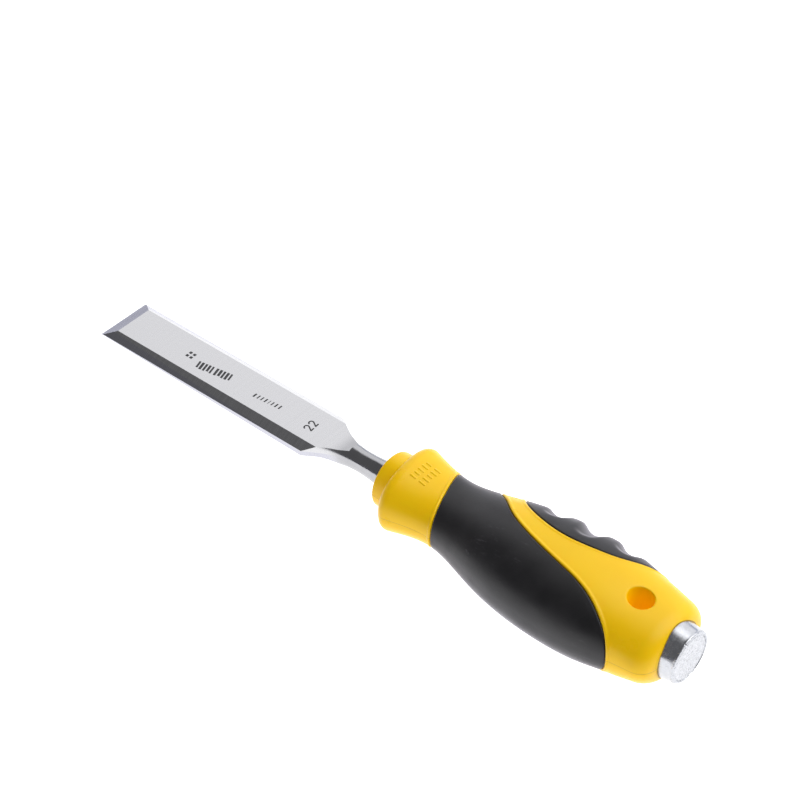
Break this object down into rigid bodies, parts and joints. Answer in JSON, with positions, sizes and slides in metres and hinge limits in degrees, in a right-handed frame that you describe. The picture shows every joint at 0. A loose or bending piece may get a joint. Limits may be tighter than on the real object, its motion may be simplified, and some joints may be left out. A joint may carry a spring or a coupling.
{
  "type": "bench chisel",
  "caption": "Bevel-edged bench chisel with an oval two-colour moulded handle, soft grip panels, a hang hole and a steel striking cap.",
  "frame": {"origin": "centre of the flat front face of the handle's nose, on the tool's axis, where the neck of the blade comes out", "axes": "+X along the blade to the cutting edge, +Z out of the blade's bevelled face, +Y the palm side of the handle"},
  "size_m": [0.251, 0.0434, 0.0308],
  "materials": {
    "blade_steel": "ground satin",
    "yellow_plastic": "moulded, satin gloss",
    "black_rubber": "matt",
    "plated_steel": "zinc plated"
  },
  "bodies": {
    "root": {"blade": "blade_steel", "inner_core": "yellow_plastic", "handle_body": "yellow_plastic", "grip_sleeve": "black_rubber", "finger_pad": "black_rubber", "strike_cap": "plated_steel"}
  },
  "joints": []
}
